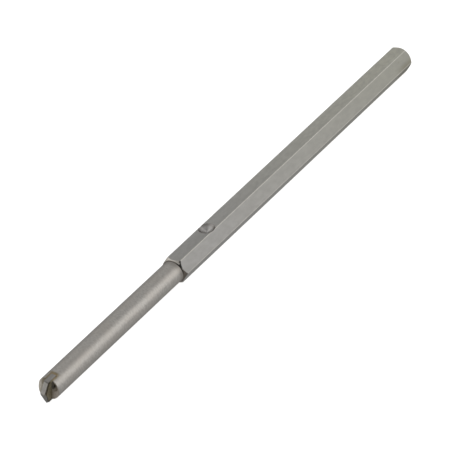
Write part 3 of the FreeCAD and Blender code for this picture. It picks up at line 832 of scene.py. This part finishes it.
def view_axes():
    back = Vector((math.sin(VIEW_AZIMUTH) * math.cos(VIEW_ELEVATION),
                   -math.cos(VIEW_AZIMUTH) * math.cos(VIEW_ELEVATION),
                   math.sin(VIEW_ELEVATION)))
    right = Vector((0, 0, 1)).cross(back).normalized()
    up = back.cross(right)
    cos, sin = math.cos(VIEW_ROLL), math.sin(VIEW_ROLL)
    return cos * right + sin * up, cos * up - sin * right, back


def build_camera():
    right, up, back = view_axes()
    data = bpy.data.cameras.new("camera")
    data.lens = VIEW_LENS
    data.sensor_width = 36
    data.clip_start = 0.01
    data.clip_end = 20
    camera = add_object("camera", data)
    aim = Vector((0, 0, AXIS_Z)) + AIM_RIGHT * right + AIM_UP * up
    turn = Matrix((right, up, back)).transposed().to_4x4()
    camera.matrix_world = Matrix.Translation(aim + VIEW_DISTANCE * back) @ turn
    bpy.context.scene.camera = camera


def soft_box(name, towards, distance, size, power, tint):
    """Area light that stands in a direction from the tool and faces it."""
    data = bpy.data.lights.new(name, "AREA")
    data.shape = "RECTANGLE"
    data.size, data.size_y = size
    data.energy = power
    data.color = tint
    light = add_object(name, data)
    light.location = towards * distance
    light.rotation_euler = towards.to_track_quat("Z", "Y").to_euler()


KEY = Vector((0.65, -0.66, 0.37)).normalized()  # where the soft front light stands
ROOM_LEVEL = 0.26                               # grey of the room
# each lobe: its direction, the level it adds, and the dot products where it starts and where it is full
ROOM = (
    (KEY, 0.22, 0.0, 1.0),                   # wall behind the front light
    (Vector((0, 0, 1)), 0.12, 0.0, 1.0),     # ceiling
    (Vector((-0.80, 0.45, 0.30)).normalized(), 0.25, 0.0, 1.0),    # pale wall beyond the point
    (Vector((-0.05, 0.72, 0.70)).normalized(), 0.30, 0.8, 1.0),    # window high behind the bar
    (Vector((0.50, -0.75, -0.35)).normalized(), 0.10, 0.3, 1.0),   # pale bench edge under the front light
    (Vector((-0.40, -0.45, 0.80)).normalized(), -0.26, 0.55, 0.9),  # dark ceiling over the viewer
)


def build_floor():
    """Pale light table: a matt sheet that glows a little, so that it stays even round the tool."""
    n = Nodes("floor_paint")
    tone = n.noise(n.place((0.01, 0.01, 0.01)), 1.0, 2.0)
    n.feed(n.shader.inputs["Base Color"], n.mix(tone, (0.80, 0.80, 0.80), (0.83, 0.83, 0.83)))
    n.shader.inputs["Roughness"].default_value = 0.9
    n.shader.inputs["Emission Color"].default_value = (1, 1, 1, 1)
    n.shader.inputs["Emission Strength"].default_value = 0.85
    side = 6                                 # half of it, in metres
    corners = [(-side, -side, 0), (side, -side, 0), (side, side, 0), (-side, side, 0)]
    floor = add_object("floor", make_mesh("floor", corners, [(0, 1, 2, 3)]))
    floor.location.z = bar_low[2] - 0.02 * MM
    floor.visible_glossy = False
    floor.data.materials.append(n.material)


def build_studio():
    """Soft room: grey all round, with the lobes of ROOM on top of that, and one soft front light."""
    world = bpy.data.worlds.new("studio")
    bpy.context.scene.world = world
    world.use_nodes = True
    tree = world.node_tree
    background = tree.nodes["Background"]
    direction = tree.nodes.new("ShaderNodeTexCoord").outputs["Generated"]

    def lobe(towards, amount, start, full):
        """Level that grows from nothing at the dot product "start" to the amount at "full"."""
        dot = tree.nodes.new("ShaderNodeVectorMath")
        dot.operation = "DOT_PRODUCT"
        dot.inputs[1].default_value = towards
        tree.links.new(direction, dot.inputs[0])
        level = tree.nodes.new("ShaderNodeMapRange")
        level.inputs["From Min"].default_value = start
        level.inputs["From Max"].default_value = full
        level.inputs["To Max"].default_value = amount
        tree.links.new(dot.outputs["Value"], level.inputs["Value"])
        return level.outputs[0]

    total = None
    for towards, amount, start, full in ROOM:
        level = tree.nodes.new("ShaderNodeMath")
        level.operation = "ADD"
        level.inputs[1].default_value = ROOM_LEVEL
        if total:
            tree.links.new(total, level.inputs[1])
        tree.links.new(lobe(towards, amount, start, full), level.inputs[0])
        total = level.outputs[0]
    tree.links.new(total, background.inputs["Strength"])
    background.inputs["Color"].default_value = (1, 1, 1, 1)
    soft_box("front_box", KEY, distance=1.3, size=(1.0, 1.1), power=2.8, tint=(1.0, 0.99, 0.975))
    bpy.context.scene.view_settings.view_transform = "Standard"


# ---------------------------------------------------------------------------------------
# Put together
# ---------------------------------------------------------------------------------------
build_camera()
build_floor()
build_studio()

bar = build_bar()
dress_bar(bar)
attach(bar, "root")
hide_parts("steel_bar")

plate = build_plate()
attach(plate, "root")
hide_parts("carbide_plate")

braze = build_braze()
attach(braze, "root")
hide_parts("braze_filler")
